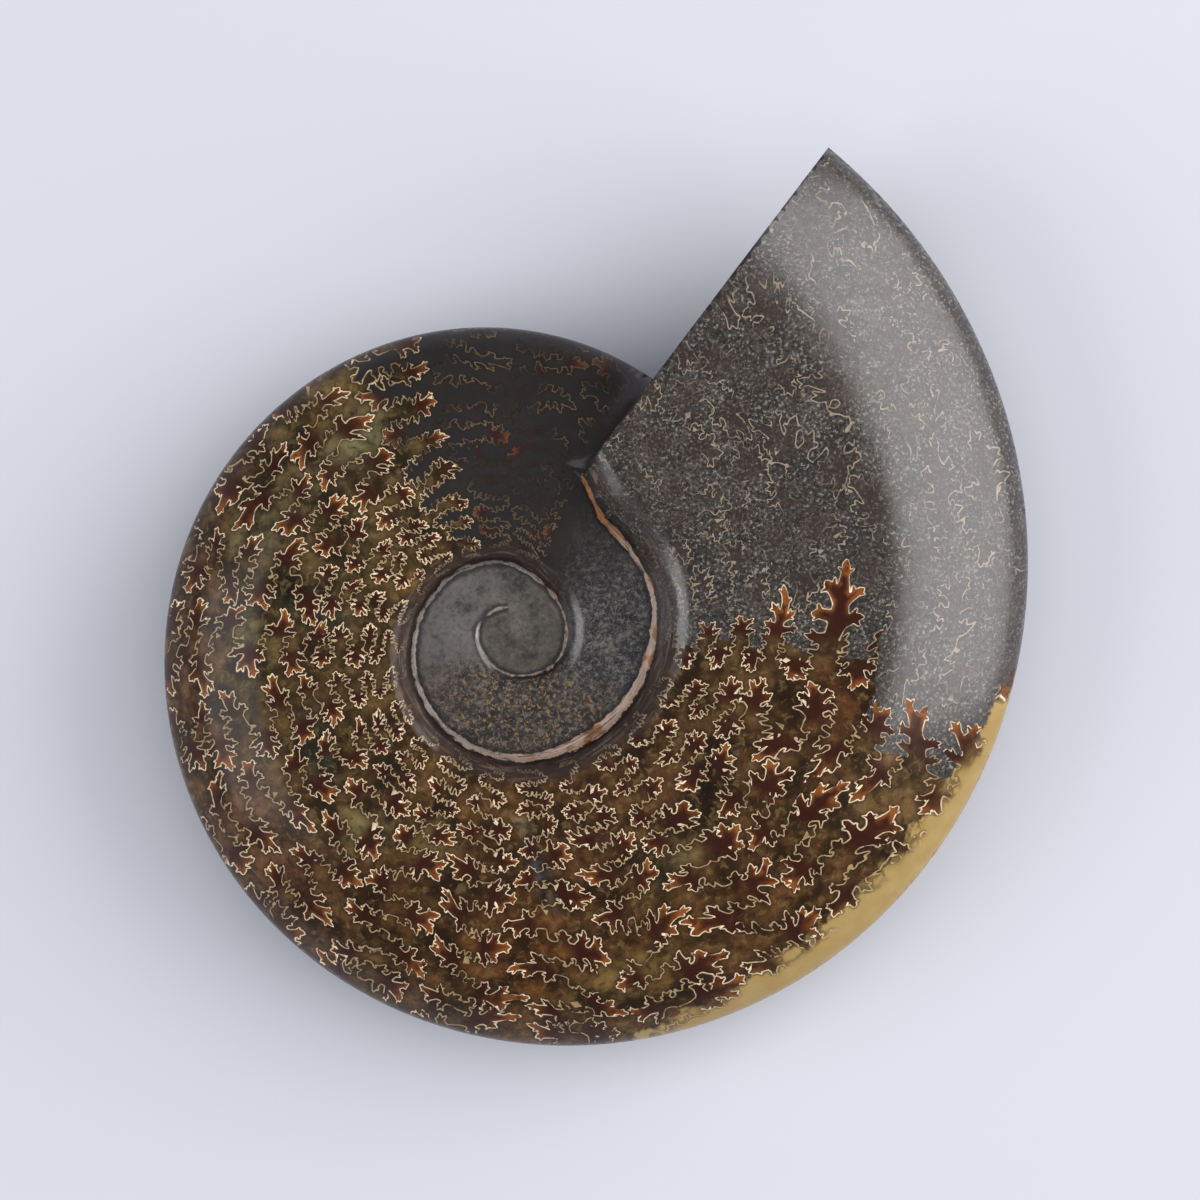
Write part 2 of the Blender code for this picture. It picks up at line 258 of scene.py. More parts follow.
# Ground colours by place: angle, share, reach in degrees, reach in share, and the colour
ZONE_WAVES = 60
GROUND = (104, 82, 46)
GROUND_ZONES = (
    (645, 0.50, 85, 0.90, (108, 72, 38)),
    (560, 0.90, 60, 0.14, (132, 92, 62)),
    (497, 0.70, 26, 0.22, (116, 99, 66)),
    (485, 0.70, 7, 0.11, (150, 140, 98)),
    (489, 0.93, 9, 0.05, (186, 152, 80)),
    (520, 0.72, 8, 0.10, (134, 122, 84)),
    (541, 0.62, 7, 0.10, (128, 114, 74)),
    (531, 0.40, 8, 0.08, (48, 56, 46)),
    (566, 0.42, 9, 0.09, (58, 62, 50)),
    (526, 0.45, 2.2, 0.035, (14, 13, 14)),
    (511, 0.14, 3.5, 0.035, (196, 138, 56)),
    (592, 0.45, 9, 0.12, (140, 126, 80)),
    (612, 0.33, 7, 0.09, (130, 112, 66)),
    (630, 0.62, 10, 0.12, (124, 76, 36)),
    (655, 0.35, 12, 0.12, (96, 62, 34)),
    (650, 0.78, 12, 0.08, (140, 110, 60)),
    (668, 0.45, 10, 0.10, (116, 98, 64)),
    (685, 0.25, 12, 0.12, (84, 54, 36)),
    (700, 0.80, 12, 0.10, (136, 104, 64)),
    (708, 0.55, 8, 0.12, (112, 66, 34)),
    (635, 0.24, 2.6, 0.030, (166, 140, 102)),
    (636, 0.38, 1.3, 0.12, (96, 100, 104)),
)

# Colours of the paint, 0 to 255, and its polish
CREAM = (240, 222, 188)
LINE_TAN = (162, 136, 98)
SHADE = (38, 27, 18)
MAROON = (50, 21, 12)
ORANGE = (134, 78, 34)
DARK_STONE = (38, 36, 36)
DARK_LINE = (98, 84, 64)
SAND_STONE = (45, 40, 34)
SAND_DARK = (18, 14, 11)
SAND_PALE = (134, 128, 118)
SAND_LIGHT = (68, 62, 55)
SAND_LEAF = (44, 32, 24)
SAND_LINE = (156, 138, 114)
BAND_YELLOW = (152, 122, 62)
BAND_PALE = (176, 152, 100)
WALL_STONE = (60, 49, 46)
WALL_PALE = (112, 100, 94)
LIP_CREAM = (186, 160, 140)
LIP_GREY = (150, 140, 131)
LIP_ORANGE = (160, 104, 56)
LIP_DARK = (70, 56, 50)
INNER_STONE = (52, 46, 39)
INNER_PALE = (116, 108, 98)
INNER_BLUE = (44, 44, 46)
INNER_TAN = (140, 108, 64)
INNER_GREY = (92, 88, 84)
INNER_GREEN = (72, 67, 57)
INNER_TURNS = (175.0, 235.0, 315.0, 345.0)
BUTTON_TURNS = (20.0, 165.0)
INNER_DARK = (20, 17, 15)
FLECK_PALE = (124, 104, 64)
FLECK_DARK = (36, 26, 19)
POLISH_ROUGHNESS = 0.20
SAND_ROUGHNESS = 0.24
STONE_SHINE = 0.20
SAND_SHINE = 0.78

# The floor, the light and the camera
FLOOR_SIZE = 6.0
FLOOR_COLOUR = (0.60, 0.61, 0.66, 1.0)
FLOOR_ROUGHNESS = 0.9
WORLD_COLOUR = (0.86, 0.88, 1.0, 1.0)
WORLD_STRENGTH = 0.30
# Softboxes: name, place, size, power, colour, and whether the polish mirrors it
SOFTBOXES = (
    ("softbox_right", (1.15, 0.28, 0.64), (1.8, 1.05), 21.5, (1.0, 0.99, 1.0), True),
    ("softbox_left", (-1.2, -0.2, 0.8), (1.1, 1.1), 10.0, (0.97, 0.98, 1.0), True),
    ("softbox_above", (0.3, 0.05, 1.6), (2.0, 2.0), 15.0, (0.97, 0.98, 1.0), False),
)
SOFTBOX_AIM = (0, 0, 0.02)
VIEW_CENTRE = (0.0008, -0.0003)
VIEW_WIDTH = 0.204
VIEW_PLANE = 0.0182
CAMERA_HEIGHT = 0.95
SENSOR_WIDTH = 36.0


def smooth_through(x, stations, values):
    """A cubic through the stations with no bump between them."""
    xs = np.asarray(stations, float)
    ys = np.asarray(values, float)
    slopes = np.diff(ys) / np.diff(xs)
    before = np.insert(slopes, 0, slopes[0])
    after = np.append(slopes, slopes[-1])
    limit = 3 * np.minimum(np.abs(before), np.abs(after)) * (before * after > 0)
    tangents = np.clip((before + after) / 2, -limit, limit)
    x = np.clip(np.asarray(x, float), xs[0], xs[-1])
    i = np.clip(np.searchsorted(xs, x) - 1, 0, len(xs) - 2)
    width = xs[i + 1] - xs[i]
    t = (x - xs[i]) / width
    rise = ys[i + 1] - ys[i]
    start = tangents[i] * width
    end = tangents[i + 1] * width
    return ys[i] + start * t + (3 * rise - 2 * start - end) * t**2 + (start + end - 2 * rise) * t**3


def keel_radius(angle):
    turn = np.radians(angle)
    grown = KEEL_GROWTH * (turn - 2 * math.pi)
    return KEEL_RADIUS * np.exp(grown + KEEL_OFF_X * np.cos(turn) + KEEL_OFF_Y * np.sin(turn))


def seam_radius(angle):
    return smooth_through(angle, SEAM_ANGLES, SEAM_RADII)


def radius_at(angle, share):
    seam = seam_radius(angle)
    return seam + share * (keel_radius(angle) - seam)


def share_at(angle, radius):
    """Share of the way from the seam to the keel."""
    seam = seam_radius(angle)
    return (radius - seam) / (keel_radius(angle) - seam)


def half_breadth(angle):
    grown = np.clip((np.asarray(angle, float) - CORE_ANGLE) / (CUT_SEAM_ANGLE - CORE_ANGLE), 0, 1)
    return CORE_HALF_BREADTH + (APERTURE_HALF_BREADTH - CORE_HALF_BREADTH) * grown**BREADTH_POWER


def flank_height(angle, share):
    """Height of a whorl's flank over the coil's plane, without its umbilical wall."""
    rounding = np.sqrt(1 - np.clip(share, 0, 1) ** KEEL_ROUNDNESS)
    crisp = np.clip((angle - SOFT_ANGLES[0]) / (SOFT_ANGLES[1] - SOFT_ANGLES[0]), 0, 1)
    soft_profile = smooth_through(share, FLANK_SHARES, SOFT_HEIGHTS)
    profile = soft_profile + crisp * (smooth_through(share, FLANK_SHARES, FLANK_HEIGHTS) - soft_profile)
    return half_breadth(angle) * profile * rounding


def seam_height(angle):
    """Height of the seam, which is where a whorl meets the flank of the turn before it, or the core."""
    angle = np.asarray(angle, float)
    earlier = angle - FULL_TURN
    on_flank = flank_height(earlier, share_at(earlier, seam_radius(angle)))
    on_core = CORE_HALF_BREADTH - CORE_SEAM_FALL
    return np.where(earlier < CORE_ANGLE, on_core, np.maximum(on_flank, on_core))


def height_at(angle, share):
    """Height of the shell's surface over the coil's plane."""
    below = (1 - np.clip(share / WALL_SHARE, 0, 1)) ** WALL_STEEPNESS
    height = seam_height(angle) * below + flank_height(angle, share) * (1 - below)
    distance = radius_at(angle, share) - seam_radius(angle)
    return height + LIP_HEIGHT * np.exp(-((distance / LIP_WIDTH) ** 2))


def in_plan(angle, radius):
    return np.stack([radius * np.cos(np.radians(angle)), radius * np.sin(np.radians(angle))], -1)


CUT_START = in_plan(CUT_SEAM_ANGLE, seam_radius(CUT_SEAM_ANGLE))
CUT_END = in_plan(CUT_KEEL_ANGLE, keel_radius(CUT_KEEL_ANGLE))
CUT_LENGTH = np.linalg.norm(CUT_END - CUT_START)
CUT_WAY = (CUT_END - CUT_START) / CUT_LENGTH


def coil_place(points, near_angle):
    """Angle and share of plan points on the whorl whose angle is near the given one."""
    angle = np.degrees(np.arctan2(points[:, 1], points[:, 0]))
    angle = angle + FULL_TURN * np.round((near_angle - angle) / FULL_TURN)
    return angle, share_at(angle, np.hypot(points[:, 0], points[:, 1]))


def notch_share():
    """How far along the saw cut it leaves the earlier whorl, over whose flank it starts."""
    low, high = 0.0, 1.0
    while high - low > MERGE:
        middle = (low + high) / 2
        point = CUT_START + middle * (CUT_END - CUT_START)
        _, share = coil_place(point[None], START_ANGLE)
        low, high = (middle, high) if share[0] < 1 else (low, middle)
    return (low + high) / 2


NOTCH_SHARE = notch_share()


def from_cut(points):
    """How far plan points lie along the saw cut, from the seam, and to its side."""
    offset = points - CUT_START
    return offset @ CUT_WAY, CUT_WAY[0] * offset[:, 1] - CUT_WAY[1] * offset[:, 0]


def ramp_height(points):
    """Height of the rounded ramp at the foot of the saw cut, over plan points of the earlier whorl."""
    along, beside = from_cut(points)
    reach = np.clip(along / (NOTCH_SHARE * CUT_LENGTH), 0, 1)
    return RAMP_HEIGHT * np.sqrt(np.sin(math.pi * reach)) * np.exp(-((beside / RAMP_WIDTH) ** 2))


class Sheet:
    """Points of the upper flank by angle and share, and the faces on them."""

    def __init__(self, angles, shares, faces):
        self.angles = np.asarray(angles, float)
        self.shares = np.asarray(shares, float)
        self.faces = faces
        plan = in_plan(self.angles, radius_at(self.angles, self.shares))
        height = height_at(self.angles, self.shares)
        height = height + np.where(self.angles < HALF_WAY_ANGLE, ramp_height(plan), 0)
        self.points = np.column_stack([plan, np.where(self.shares >= 1, 0, height)])
        self.paint = {}
        self.line_faces = np.zeros(len(faces))


def grid_faces(sections, rows):
    """Quads of a grid of points that are listed section after section."""
    faces = []
    for i in range(sections - 1):
        for j in range(rows - 1):
            a = i * rows + j
            faces.append((a, a + 1, a + rows + 1, a + rows))
    return faces


def inner_sheet():
    """The whorls that show in the umbilicus, up to the seam of the next turn."""
    count = round((START_ANGLE - CORE_ANGLE) / SECTION_DEG) + 1
    angles = CORE_ANGLE + SECTION_DEG * np.arange(count)
    reach = share_at(angles, seam_radius(angles + FULL_TURN))
    rows = np.array(INNER_ROWS)
    sheet = Sheet(np.repeat(angles, len(rows)), (reach[:, None] * rows).ravel(), grid_faces(count, len(rows)))
    sheet.points[len(rows) - 1 :: len(rows)] = Sheet(angles + FULL_TURN, 0 * angles, []).points
    return sheet


def along_cut(reach, count, near_angle):
    """Angles and shares along the saw cut, from the seam, on the whorl whose angle is near the given one."""
    along = reach * np.linspace(0, 1, count)
    angles, shares = coil_place(CUT_START + along[:, None] * (CUT_END - CUT_START), near_angle)
    shares[-1] = 1.0
    return angles, shares


def cut_edge():
    """The saw cut's upper edge, from the seam to the keel's tip."""
    angles, shares = along_cut(1, CUT_POINTS, CUT_SEAM_ANGLE)
    shares[0] = 0.0
    return angles, shares


def cut_foot():
    """The foot of the saw cut on the earlier whorl, from the seam to the notch."""
    return along_cut(NOTCH_SHARE, FOOT_POINTS, START_ANGLE)


def outer_boundary():
    """Angles and shares round the outer whorl: the seam, the cut's edge, the keel and the cut's foot."""
    seam_angles = START_ANGLE + SECTION_DEG * np.arange(SECTIONS_A_TURN)
    edge_angles, edge_shares = cut_edge()
    foot_angles, foot_shares = cut_foot()
    count = int(math.radians(edge_angles[-1] - foot_angles[-1]) * KEEL_RADIUS / KEEL_STEP)
    keel_angles = np.linspace(edge_angles[-1], foot_angles[-1], count + 1)[1:-1]
    inside = np.array(INNER_ROWS[1:-1]) * share_at(foot_angles[0], seam_radius(CUT_SEAM_ANGLE))
    angles = [seam_angles, edge_angles, keel_angles, foot_angles[::-1], np.full(len(inside), foot_angles[0])]
    shares = [0 * seam_angles, edge_shares, 1 + 0 * keel_angles, foot_shares[::-1], inside[::-1]]
    return np.concatenate(angles), np.concatenate(shares)


def fill_points(spacing):
    """Points in the outer whorl: rows along the wall and the keel, and a staggered grid on the flank."""
    along = START_ANGLE - SECTION_DEG + SECTION_DEG * np.arange(SECTIONS_A_TURN + 2)
    angles, shares = [], []
    fine = np.arange(along[0] - SECTION_DEG, along[-1], EDGE_STEP_DEG)
    wall, keel = (WALL_ROWS, along, SECTION_DEG / 2, 0), (EDGE_ROWS, fine, EDGE_SHIFT_DEG, 1)
    for rows, places, shift, odd in (wall, keel):
        for i, row in enumerate(rows):
            angles.append(places + shift * (i % 2 == odd))
            shares.append(np.full(len(places), row))
    spread = np.degrees(spacing)
    columns = np.arange(along[0] - 2 * SECTION_DEG, along[-1] + SECTION_DEG, spread)
    logs = np.arange(math.log(FILL_RADII[0]), math.log(FILL_RADII[1]), spacing * math.sqrt(3) / 2)
    for i, log_radius in enumerate(logs):
        column = columns + spread / 2 * (i % 2)
        share = share_at(column, math.exp(log_radius))
        keep = (share > WALL_ROWS[-1] + ROW_GAP) & (share < EDGE_ROWS[0] - ROW_GAP)
        angles.append(column[keep])
        shares.append(share[keep])
    return np.concatenate(angles), np.concatenate(shares)


def unrolled(angles, shares):
    """Coordinates in which the coil is a straight strip, with angles between lines as in the plan."""
    return np.column_stack([np.radians(angles), np.log(radius_at(angles, shares))])


def inside_cut(angles, shares, margin):
    """Which points lie on the outer whorl, clear of its two slanting ends."""
    along, beside = from_cut(in_plan(angles, radius_at(angles, shares)))
    beyond = along > 0
    early = angles < HALF_WAY_ANGLE
    before_seam = angles <= START_ANGLE + SEAM_GAP_DEG
    starts = early & ~before_seam & ((beside > margin) | ~beyond)
    low_end = before_seam & (angles > START_ANGLE - NEAR_CUT_DEG[0]) & beyond & (beside > margin)
    ends = ~early & (angles < CUT_SEAM_ANGLE + NEAR_CUT_DEG[2])
    ends &= (beside < -margin) & beyond | (angles < CUT_SEAM_ANGLE - NEAR_CUT_DEG[1])
    return starts | low_end | ends


def ripple(u, v, seed):
    """A smooth random waviness over the unrolled coil."""
    rng = np.random.default_rng(seed)
    total = 0 * u
    for height, frequency in WARP_WAVES:
        for _ in range(WAVES_A_BAND):
            way, phase = rng.uniform(0, 2 * math.pi), rng.uniform(0, 2 * math.pi)
            along = u * np.cos(way) + v * np.sin(way)
            total = total + height / WAVE_SHARE * np.sin(WAVE_PITCH * frequency * along + phase)
    return total


def blend(a, b, width):
    """The smaller of two distances, rounded where they meet."""
    h = np.clip(0.5 + 0.5 * (b - a) / width, 0, 1)
    return b + (a - b) * h - width * h * (1 - h)


def finger_distance(x, y, start, end, wide, narrow):
    """Distance to a round-ended finger that narrows from its root to its tip."""
    dx, dy = end[0] - start[0], end[1] - start[1]
    t = np.clip(((x - start[0]) * dx + (y - start[1]) * dy) / (dx * dx + dy * dy), 0, 1)
    return np.hypot(x - start[0] - t * dx, y - start[1] - t * dy) - (wide + t * (narrow - wide))


def tooth_lines(start, end, wide, rng):
    """The small pointed teeth on a finger's two sides, and one at its tip."""
    way = math.atan2(end[1] - start[1], end[0] - start[0])
    widths = (wide * TOOTH_WIDTHS[0], wide * TOOTH_WIDTHS[1])
    teeth = [(end, way + rng.normal(0, TIP_TOOTH_TURN), wide * rng.uniform(*TIP_TOOTH_LENGTHS), *widths)]
    for side in (-1, 1):
        at = rng.uniform(*SIDE_TOOTH_PLACES)
        place = (start[0] + (end[0] - start[0]) * at, start[1] + (end[1] - start[1]) * at)
        turned = way + side * rng.uniform(*SIDE_TOOTH_TURNS)
        teeth.append((place, turned, wide * rng.uniform(*SIDE_TOOTH_LENGTHS), *widths))
    return teeth


def leaf_distance(x, y, leaves, rng, stretch):
    """Distance to one leaf, in pitches: a stem and its fingers, joined."""
    fingers = leaves[rng.integers(len(leaves))]
    flip = rng.choice((-1, 1))
    turn = rng.normal(0, LEAF_TURN)
    size = rng.uniform(*LEAF_SIZES)
    beyond_side = np.abs(y) - LEAF_SIDE
    cos, sin = math.cos(turn), math.sin(turn)
    x, y = (cos * x + sin * y) / size, flip * (cos * y - sin * x) / size
    total = None
    for root_x, root_y, tip_x, tip_y, wide, narrow in fingers:
        grow = rng.uniform(*FINGER_GROWTH)
        start = (root_x * stretch, root_y)
        end = (start[0] + (tip_x * stretch - start[0]) * grow, root_y + (tip_y - root_y) * grow)
        part = finger_distance(x, y, start, end, wide, narrow)
        total = part if total is None else blend(total, part, FINGER_JOIN)
        if start[0] > 0:
            for root, way, reach, broad, thin in tooth_lines(start, end, wide, rng):
                tip = (root[0] + reach * math.cos(way), root[1] + reach * math.sin(way))
                total = blend(total, finger_distance(x, y, root, tip, broad, thin), TOOTH_JOIN)
    return np.maximum(total * size, beyond_side)


class Sutures:
    """Distances from the septa on a regular grid over the unrolled outer whorl."""

    def __init__(self):
        step = 1.0 / CELLS_A_UNIT
        self.first = START_ANGLE - GRID_PAST_DEG[0]
        last = CUT_SEAM_ANGLE + GRID_PAST_DEG[1]
        self.turn_step = step * FULL_TURN / SEPTA_A_TURN
        self.log_step = step * 2 * math.pi / SEPTA_A_TURN
        self.log_first = math.log(seam_radius(self.first)) - GRID_PAST_LOG
        angle_range = self.first + self.turn_step * np.arange(int((last - self.first) / self.turn_step))
        log_last = math.log(keel_radius(CUT_KEEL_ANGLE)) + GRID_PAST_LOG
        rows = int((log_last - self.log_first) / self.log_step)
        log_range = self.log_first + self.log_step * np.arange(rows)
        angle, log = np.meshgrid(angle_range, log_range, indexing="ij")
        radius = np.exp(log)
        self.unit = 2 * math.pi * radius / SEPTA_A_TURN
        u = angle * SEPTA_A_TURN / FULL_TURN
        v = log * SEPTA_A_TURN / (2 * math.pi)
        self.u = u + ripple(u, v, WARP_SEEDS[0])
        seam = seam_radius(angle_range)[:, None]
        self.span = keel_radius(angle_range)[:, None] - seam
        bent = np.exp((v + ripple(u, v, WARP_SEEDS[1])) * 2 * math.pi / SEPTA_A_TURN)
        self.share = (bent - seam) / self.span
        own_share = (radius - seam) / self.span
        self.inside = (own_share > 0) & (own_share < 1)
        self.drawn = inside_cut(angle.ravel(), own_share.ravel(), LINES_FROM_CUT).reshape(angle.shape)
        self.drawn &= (own_share > SUTURE_SHARES[0]) & (own_share < SUTURE_SHARES[1])
        self.nearest = np.full(angle.shape, FAR)
        self.leaf = np.zeros(angle.shape)
        self.lines = []
        self.borders = {}
        before = None
        for septum in range(FIRST_SEPTUM, LAST_SEPTUM + 1):
            before = self.draw_septum(septum, before)
        self.dark = -self.borders[DARK_SEPTUM]
        over_shoulder = own_share > SAND_SHOULDER
        past = (self.u - np.where(over_shoulder, SAND_SEPTUM - 1, SAND_SEPTUM)) * self.unit
        past += SAND_MARGIN + SAND_WAVES * ripple(3 * u, 3 * v, SAND_SEED)
        border = np.where(over_shoulder, self.borders[SAND_SEPTUM - 1], self.borders[SAND_SEPTUM])
        self.sand = np.minimum(border, past)

    def draw_septum(self, septum, before):
        """Work out one septum's distance, keep its contours and return the distance for the next septum."""
        x = self.u - septum
        window = self.inside & (np.abs(x) < SEPTUM_REACH)
        columns = np.flatnonzero(window.any(axis=1))
        if len(columns) == 0:
            return None
        part = slice(columns[0], columns[-1] + 1)
        window = window[part]
        x, share, unit = x[part], self.share[part], self.unit[part]
        span = np.broadcast_to(self.span[part], x.shape)
        rng = np.random.default_rng(SUTURE_SEED + 100 * septum)
        field = x + WIGGLE[0] * np.sin(share * WIGGLE[1] + septum)
        for kind, shares, leaves in LEAF_KINDS:
            joined = np.full(x.shape, FAR)
            for j, centre in enumerate(shares):
                low = shares[j - 1] if j else centre - END_GAPS[0]
                high = shares[j + 1] if j + 1 < len(shares) else centre + END_GAPS[1]
                centre = centre + rng.normal(0, CENTRE_SHIFT)
                lateral = (share - centre) * span / unit
                pitch = np.clip((high - low) / 2 * span / unit, *PITCH_RANGE)
                shift = rng.normal(0, SIDE_SHIFT)
                near = window & (np.abs(lateral) < pitch)
                seed = rng.integers(1 << 30)
                if near.sum() < FEWEST_CELLS:
                    continue
                size = pitch[near]
                stretch = np.interp(centre, LENGTH_SHARES, LEAF_LENGTHS) / np.median(size)
                if septum == SAND_SEPTUM and kind > 0 and centre > SAND_STRETCH_FROM:
                    stretch *= SAND_STRETCH
                stretch = float(np.clip(stretch / LEAF_REACH, *STRETCH_RANGE))
                leaf_rng = np.random.default_rng(seed)
                along, across = kind * x[near] / size, lateral[near] / size + shift
                away = leaf_distance(along, across, leaves, leaf_rng, stretch)
                joined[near] = np.minimum(joined[near], away * size)
            if kind < 0 and before is not None:
                joined = np.maximum(joined, LINE_GAP / unit - before[part])
            field = kind * blend(kind * field, joined, SEPTUM_JOIN)
        distance = field * unit * LINE_HALF_WIDTH / (LINE_GROWTH[0] + LINE_GROWTH[1] * unit)
        leaf = np.clip(np.where(field < 0, x, -x) / LEAF_DEPTH, 0, 1)
        closer = window & (np.abs(distance) < self.nearest[part])
        self.nearest[part][closer] = np.abs(distance)[closer]
        self.leaf[part][closer] = leaf[closer]
        if septum in (DARK_SEPTUM, SAND_SEPTUM - 1, SAND_SEPTUM):
            border = np.where(self.u > septum, FAR, -FAR)
            border[part] = np.where(window, distance, border[part])
            self.borders[septum] = border
        drawn = window & self.drawn[part]
        for level in (-LINE_HALF_WIDTH, LINE_HALF_WIDTH):
            for chain in contour_chains(distance, drawn, level):
                self.keep_line(chain, columns[0], leaf, level, x)
        full = np.full(self.u.shape, FAR)
        full[part] = np.where(window, field, FAR)
        return full

    def keep_line(self, chain, first_column, leaf, level, x):
        """Keep a contour as angles, log radii and how much it borders a leaf."""
        columns = np.clip(np.round(chain[:, 0]).astype(int), 0, leaf.shape[0] - 1)
        rows = np.clip(np.round(chain[:, 1]).astype(int), 0, leaf.shape[1] - 1)
        bordering = np.clip(x[columns, rows] * (1 if level < 0 else -1) / LEAF_DEPTH, 0, 1)
        angle = self.first + (chain[:, 0] + first_column) * self.turn_step
        log = self.log_first + chain[:, 1] * self.log_step
        self.lines.append(np.column_stack([angle, log, bordering]))

    def sample(self, name, angle, log):
        """Values of one of the grids between its points."""
        grid = getattr(self, name)
        i = np.clip((angle - self.first) / self.turn_step, 0, grid.shape[0] - GRID_EDGE)
        j = np.clip((log - self.log_first) / self.log_step, 0, grid.shape[1] - GRID_EDGE)
        a, b = i.astype(int), j.astype(int)
        s, t = i - a, j - b
        low = grid[a, b] * (1 - s) + grid[a + 1, b] * s
        high = grid[a, b + 1] * (1 - s) + grid[a + 1, b + 1] * s
        return low * (1 - t) + high * t


def contour_chains(field, allowed, level):
    """Chains of points where a grid of values crosses the level, in the grid's own steps."""
    value = field - level
    value = np.where(np.abs(value) < TINY, TINY, value)
    above = value > 0
    good = allowed[:-1, :-1] & allowed[1:, :-1] & allowed[:-1, 1:] & allowed[1:, 1:]
    rows = field.shape[1]
    corner = above[:-1, :-1] * 1 + above[1:, :-1] * 2 + above[1:, 1:] * 4 + above[:-1, 1:] * 8
    cells = np.nonzero(good & (corner > 0) & (corner < 15))
    links = {}
    for i, j in zip(cells[0].tolist(), cells[1].tolist()):
        # a grid side has the number of its first corner, doubled, and one more if it runs along the rows
        bottom = 2 * (i * rows + j)
        sides = (bottom, bottom + 2 * rows + 1, bottom + 2, bottom + 1)
        for start, end in CELL_LINKS[int(corner[i, j])]:
            links.setdefault(sides[start], []).append(sides[end])
            links.setdefault(sides[end], []).append(sides[start])
    chains = []
    for start in [side for side, found in links.items() if len(found) == 1] + list(links):
        here = start
        chain = [start]
        while links[here]:
            onward = links[here].pop()
            links[onward].remove(here)
            chain.append(onward)
            here = onward
        if len(chain) > 1:
            chains.append(np.array(chain))
    places = []
    for chain in chains:
        across = chain % 2 == 0
        i, j = chain // 2 // rows, chain // 2 % rows
        start, end = value[i, j], value[i + across, j + ~across]
        t = start / (start - end)
        places.append(np.column_stack([i + across * t, j + ~across * t]))
    return places


def thin_out(points, tolerance):
    """Which points of a chain are needed to keep its shape within the tolerance."""
    keep = np.zeros(len(points), bool)
    keep[0] = keep[-1] = True
    spans = [(0, len(points) - 1)]
    while spans:
        a, b = spans.pop()
        if b - a < 2:
            continue
        chord = points[b] - points[a]
        length = math.hypot(*chord)
        inner = points[a + 1 : b] - points[a]
        if length < TINY:
            away = np.hypot(inner[:, 0], inner[:, 1])
        else:
            away = np.abs(inner[:, 0] * chord[1] - inner[:, 1] * chord[0]) / length
        worst = int(np.argmax(away))
        if away[worst] > tolerance or b - a > LONGEST_SPAN:
            middle = a + 1 + worst
            keep[middle] = True
            spans += [(a, middle), (middle, b)]
    return keep


def inside_loop(points, loop):
    """Which points lie inside a closed loop of points."""
    crossings = np.zeros(len(points), int)
    for start, end in zip(loop, np.roll(loop, -1, axis=0)):
        straddles = (start[1] > points[:, 1]) != (end[1] > points[:, 1])
        if straddles.any():
            reach = start[0] + (points[:, 1] - start[1]) * (end[0] - start[0]) / (end[1] - start[1])
            crossings += straddles & (points[:, 0] < reach)
    return crossings % 2 == 1


def line_points(sutures, tolerance):
    """Points along the suture lines' edges, in the unrolled coil, how leafy they are, and their edges."""
    places, leafs, edges = [], [], []
    count = 0
    for line in sutures.lines:
        flat = np.column_stack([np.radians(line[:, 0]), line[:, 1]])
        size = math.exp(line[:, 1].mean())
        if len(flat) < 4 or np.ptp(flat, axis=0).max() * size < SHORTEST_LINE:
            continue
        closed = np.hypot(*(flat[0] - flat[-1])) * size < MERGE
        kept = np.flatnonzero(thin_out(flat * size, tolerance))
        if closed:
            kept = kept[:-1]
        places.append(flat[kept])
        leafs.append(line[kept, 2])
        numbers = count + np.arange(len(kept))
        edges.extend(zip(numbers[:-1].tolist(), numbers[1:].tolist()))
        if closed:
            edges.append((int(numbers[-1]), int(numbers[0])))
        count += len(kept)
    return np.concatenate(places), np.concatenate(leafs), edges


